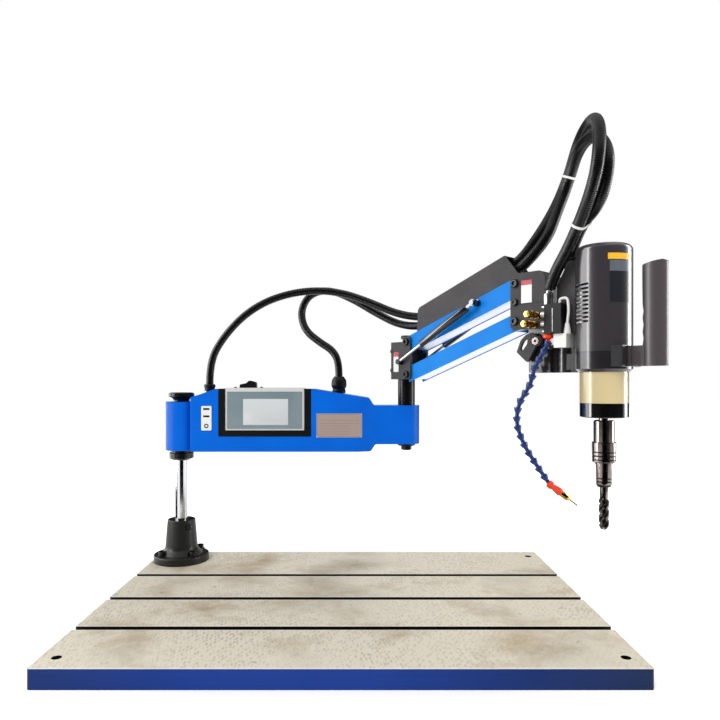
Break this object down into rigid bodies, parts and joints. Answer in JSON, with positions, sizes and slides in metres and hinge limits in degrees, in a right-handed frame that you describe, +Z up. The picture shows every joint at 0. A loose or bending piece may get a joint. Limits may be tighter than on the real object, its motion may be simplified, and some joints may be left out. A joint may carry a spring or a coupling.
{
  "type": "arm tapping machine",
  "caption": "Swing-arm tapping machine: T-slot bed plate, round column, drive arm with screen, sprung parallelogram arm, vertical motor head with tap chuck, grip and coolant hose.",
  "frame": {"origin": "on the underside of the bed plate, straight below the column's axis", "axes": "+Z up, +X from the column along the first arm at rest and along the bed plate's long side, +Y towards the plate's back edge"},
  "size_m": [1.1709, 0.7485, 1.0905],
  "materials": {
    "scraped_iron": "scraped and oiled",
    "black_iron": "black paint",
    "black_screw": "black oxide",
    "chrome": "polished",
    "arm_blue": "semi-gloss powder coat",
    "link_blue": "semi-gloss powder coat",
    "bronze": "oiled",
    "black_plastic": "matt",
    "silver_case": "satin silver",
    "screen_glass": "clear",
    "white_plastic": "gloss",
    "aluminium": "brushed",
    "grey_paint": "fine textured",
    "motor_grey": "satin",
    "cream_paint": "satin",
    "tool_steel": "ground",
    "tap_steel": "dark",
    "brass": "turned",
    "hose_blue": "moulded",
    "nozzle_orange": "moulded",
    "conduit_black": "corrugated"
  },
  "bodies": {
    "bed": {"bed_plate": "scraped_iron", "column_foot": "black_iron", "foot_fasteners": "black_screw", "column": "chrome", "column_collar": "black_screw", "column_cap": "black_screw"},
    "first_arm": {"first_arm_housing": "arm_blue", "first_arm_back_plate": "arm_blue", "back_plate_screws": "black_screw", "arm_bearings": "bronze", "screen_surround": "black_plastic", "screen_case": "silver_case", "screen_glass": "screen_glass", "port_panel": "white_plastic", "servo_drive": "black_plastic", "conduit_glands": "black_plastic", "elbow_conduit_upper": "conduit_black", "elbow_conduit_lower": "conduit_black"},
    "power_switch": {"power_rocker": "black_plastic"},
    "elbow": {"elbow_post": "black_screw", "elbow_lock_nut": "black_screw", "elbow_fork": "grey_paint", "elbow_pins": "black_screw"},
    "upper_link": {"upper_link_channel": "link_blue", "upper_link_bar": "aluminium", "cable_cover": "grey_paint"},
    "lower_link": {"lower_link_channel": "link_blue", "lower_link_bar": "aluminium"},
    "gas_cylinder_front": {"gas_cylinder_front": "black_screw"},
    "gas_cylinder_rear": {"gas_cylinder_rear": "black_screw"},
    "gas_rod_front": {"gas_rod_front": "chrome"},
    "gas_rod_rear": {"gas_rod_rear": "chrome"},
    "head": {"head_knuckle": "grey_paint", "head_pins": "black_screw", "head_carrier": "grey_paint", "motor_cover": "motor_grey", "servo_motor": "black_plastic", "gearbox_barrel": "cream_paint", "nose_ring": "black_screw", "spindle_bearing": "tool_steel", "terminal_box": "grey_paint", "solenoid_valve": "black_plastic", "air_fittings": "white_plastic", "needle_valve_bodies": "brass", "handle": "grey_paint", "hose_seat": "nozzle_orange", "loop_conduit_upper": "conduit_black", "loop_conduit_lower": "conduit_black"},
    "needle_knob_upper": {"needle_knob_upper": "brass"},
    "needle_knob_lower": {"needle_knob_lower": "brass"},
    "clamp_lever": {"clamp_lever": "grey_paint"},
    "thumb_button": {"thumb_button": "black_plastic"},
    "spindle": {"spindle": "tool_steel", "chuck_body": "tool_steel", "tap_collet": "tool_steel", "tap": "tap_steel"},
    "chuck_sleeve": {"chuck_sleeve": "tool_steel"},
    "hose_upper": {"hose_upper_run": "hose_blue"},
    "hose_lower": {"hose_lower_run": "hose_blue"},
    "nozzle": {"coolant_nozzle": "nozzle_orange"}
  },
  "joints": [
    {"name": "arm_swing", "type": "hinge", "parent": "bed", "child": "first_arm", "pos_m": [0, 0, 0.402], "axis": [0, 0, 1], "range_deg": [-175, 175]},
    {"name": "elbow_swing", "type": "hinge", "parent": "first_arm", "child": "elbow", "pos_m": [0.615, 0, 0.4], "axis": [0, 0, 1], "range_deg": [-100, 190], "deforming": ["elbow_conduit_upper", "elbow_conduit_lower"]},
    {"name": "arm_lift", "type": "hinge", "parent": "elbow", "child": "upper_link", "pos_m": [0.6384, -0.02466, 0.628], "axis": [-0.7254, -0.6884, 0], "range_deg": [-28, 20], "deforming": ["loop_conduit_upper", "loop_conduit_lower"]},
    {"name": "lower_link_swing", "type": "hinge", "parent": "elbow", "child": "lower_link", "pos_m": [0.6384, -0.02466, 0.542], "axis": [-0.7254, -0.6884, 0], "range_deg": [-28, 20]},
    {"name": "head_level", "type": "hinge", "parent": "upper_link", "child": "head", "pos_m": [0.86825, -0.26687, 0.74559], "axis": [-0.7254, -0.6884, 0], "range_deg": [-20, 28]},
    {"name": "gas_cylinder_front_swing", "type": "hinge", "parent": "upper_link", "child": "gas_cylinder_front", "pos_m": [0.7591, -0.22086, 0.711], "axis": [-0.7254, -0.6884, 0], "range_deg": [-3, 4]},
    {"name": "gas_rod_front_slide", "type": "slide", "parent": "gas_cylinder_front", "child": "gas_rod_front", "axis": [-0.6014, 0.6337, -0.4865], "range_m": [-0.02, 0.0141]},
    {"name": "gas_cylinder_rear_swing", "type": "hinge", "parent": "upper_link", "child": "gas_cylinder_rear", "pos_m": [0.82801, -0.15546, 0.711], "axis": [-0.7254, -0.6884, 0], "range_deg": [-3, 4]},
    {"name": "gas_rod_rear_slide", "type": "slide", "parent": "gas_cylinder_rear", "child": "gas_rod_rear", "axis": [-0.6014, 0.6337, -0.4865], "range_m": [-0.02, 0.0141]},
    {"name": "spindle_spin", "type": "hinge", "parent": "head", "child": "spindle", "pos_m": [1.00041, -0.40614, 0.466], "axis": [0, 0, 1], "continuous": true},
    {"name": "chuck_sleeve_slide", "type": "slide", "parent": "spindle", "child": "chuck_sleeve", "axis": [0, 0, 1], "range_m": [0, 0.006], "stiffness_N_per_m": 600, "springref_m": -0.004},
    {"name": "power_rocker_tilt", "type": "hinge", "parent": "first_arm", "child": "power_switch", "pos_m": [0.185, -0.012, 0.502], "axis": [0, 1, 0], "range_deg": [0, 14]},
    {"name": "needle_knob_upper_turn", "type": "hinge", "parent": "head", "child": "needle_knob_upper", "pos_m": [0.86609, -0.35176, 0.668], "axis": [-0.7254, -0.6884, 0], "range_deg": [0, 720]},
    {"name": "needle_knob_lower_turn", "type": "hinge", "parent": "head", "child": "needle_knob_lower", "pos_m": [0.86093, -0.34632, 0.6475], "axis": [-0.7254, -0.6884, 0], "range_deg": [0, 720]},
    {"name": "clamp_lever_turn", "type": "hinge", "parent": "head", "child": "clamp_lever", "pos_m": [0.88056, -0.33941, 0.611], "axis": [0.7254, 0.6884, 0], "range_deg": [-8, 25]},
    {"name": "thumb_button_press", "type": "slide", "parent": "head", "child": "thumb_button", "axis": [0, 0, -1], "range_m": [0, 0.0015], "stiffness_N_per_m": 400, "springref_m": -0.002},
    {"name": "hose_swivel", "type": "hinge", "parent": "head", "child": "hose_upper", "pos_m": [0.89781, -0.35613, 0.607], "axis": [0, 0, 1], "range_deg": [-5, 30]},
    {"name": "hose_bend", "type": "hinge", "parent": "hose_upper", "child": "hose_lower", "pos_m": [0.83929, -0.32729, 0.461], "axis": [0.4423, 0.8969, 0], "range_deg": [-4, 15]},
    {"name": "nozzle_tilt", "type": "hinge", "parent": "hose_lower", "child": "nozzle", "pos_m": [0.90046, -0.35747, 0.299], "axis": [0.4423, 0.8969, 0], "range_deg": [-10, 20]}
  ],
  "couplings": [
    {"joint": "lower_link_swing", "follows": "arm_lift", "ratio": 1},
    {"joint": "head_level", "follows": "arm_lift", "ratio": -1},
    {"joint": "gas_cylinder_front_swing", "follows": "arm_lift", "ratio": -0.14},
    {"joint": "gas_rod_front_slide", "follows": "arm_lift", "m_per_rad": 0.04},
    {"joint": "gas_cylinder_rear_swing", "follows": "arm_lift", "ratio": -0.14},
    {"joint": "gas_rod_rear_slide", "follows": "arm_lift", "m_per_rad": 0.04}
  ]
}
